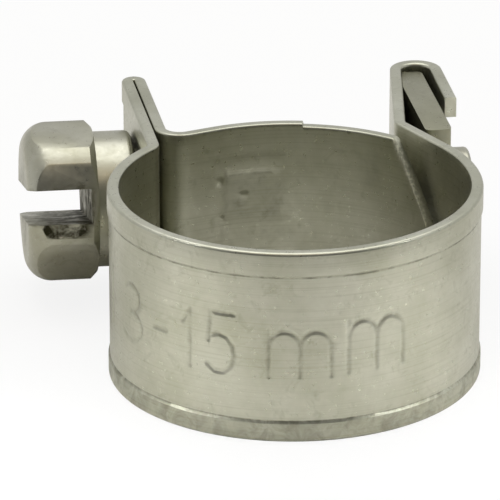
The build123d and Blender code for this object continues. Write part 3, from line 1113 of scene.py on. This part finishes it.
# %% [markdown]
# ## Floor and light
# The clamp stands on white paper. The camera sees the paper as nearly white, while the rest of
# the light sees plain matt paper, so the steel reflects a floor that the lamps really light,
# and the clamp keeps a faint shadow.

# %% Floor
FLOOR_SIZE = 2000           # mm from the middle to each side
FLOOR_GAP = 0.01            # mm below the lowest edge
PAPER_GLOW = 0.86           # share of pure white in what the camera sees
PAPER_ROUGHNESS = 0.9

sheet = bmesh.new()
bmesh.ops.create_grid(sheet, x_segments=1, y_segments=1, size=FLOOR_SIZE)
bmesh.ops.translate(sheet, verts=sheet.verts, vec=(0, 0, -HALF_WIDTH - FLOOR_GAP))
floor = mesh_object(sheet, "floor")
paper, tree = new_material("white_paper")
seen = add(tree, "ShaderNodeLightPath", out="Is Camera Ray")
matt = add(tree, "ShaderNodeBsdfPrincipled", out="BSDF", Base_Color=colour("#f4f3f0"),
           Roughness=PAPER_ROUGHNESS)
white = add(tree, "ShaderNodeEmission", out="Emission", Color=colour("#ffffff"), Strength=1.0)
glow = add(tree, "ShaderNodeMath", {"operation": "MULTIPLY"}, out=0, i0=seen, i1=PAPER_GLOW)
mixed = add(tree, "ShaderNodeMixShader", out=0, i0=glow, i1=matt, i2=white)
add(tree, "ShaderNodeOutputMaterial", Surface=mixed)
floor.data.materials.append(paper)
print("floor at", round(-HALF_WIDTH - FLOOR_GAP, 2), "mm")

# %% [markdown]
# A large soft lamp above gives the steel its even tone, and a weak warm one fills the front. Two
# small beams light a pool of floor at each side, which the front wall reflects as soft pale
# bands.

# %% Lamps, with places and sizes in millimetres, power in watts and beams in degrees
LAMPS = (("overhead", (0, 60, 170), (0, 0, 0), (200, 150), 0.15, "#ffffff", 180),
         ("front", (0, -66, 165), (0, 0, 0), (120, 84), 0.02, "#ffe8c4", 180),
         ("left_pool", (-58, -22, 42), (-14, -12, -4), (8, 8), 0.0009, "#ffffff", 22),
         ("right_pool", (60, -20, 42), (15, -10, -4), (8, 8), 0.0009, "#ffffff", 22))


def lamp(name, place, aim, size, power, tint, beam):
    """Rectangular area lamp that looks at a point."""
    data = bpy.data.lights.new(name, "AREA")
    data.shape = "RECTANGLE"
    data.size, data.size_y = size[0] * MM, size[1] * MM
    data.energy = power
    data.spread = radians(beam)
    data.color = colour(tint)[:3]
    body = bpy.data.objects.new(name, data)
    body.location = Vector(place) * MM
    body.rotation_euler = (Vector(aim) - Vector(place)).to_track_quat("-Z", "Y").to_euler()
    bpy.context.scene.collection.objects.link(body)


for row in LAMPS:
    lamp(*row)
print("lamps", [row[0] for row in LAMPS])

# %% [markdown]
# Round it all is a light tent, darker on the camera's side, so that walls and flats differ in
# tone. The camera itself sees white.

# %% World
TENT_DARK = 0.12            # strength on the camera's side
TENT_LIGHT = 0.7            # strength on the far side

world = bpy.data.worlds.new("light_tent")
world.use_nodes = True
tree = world.node_tree
tree.nodes.clear()
seen = add(tree, "ShaderNodeLightPath", out="Is Camera Ray")
sky = add(tree, "ShaderNodeTexCoord", out="Generated")
depth = add(tree, "ShaderNodeSeparateXYZ", out="Y", Vector=sky)
level = add(tree, "ShaderNodeMapRange", {"interpolation_type": "SMOOTHSTEP"}, out="Result",
            Value=depth, From_Min=-0.9, From_Max=0.1, To_Min=TENT_DARK, To_Max=TENT_LIGHT)
dim = add(tree, "ShaderNodeBackground", out="Background", Color=colour("#ffffff"),
          Strength=level)
bright = add(tree, "ShaderNodeBackground", out="Background", Color=colour("#ffffff"),
             Strength=1.0)
mixed = add(tree, "ShaderNodeMixShader", out=0, i0=seen, i1=dim, i2=bright)
add(tree, "ShaderNodeOutputWorld", Surface=mixed)
bpy.context.scene.world = world
bpy.context.scene.view_settings.view_transform = "Standard"
print("world", world.name, "from", TENT_DARK, "to", TENT_LIGHT)
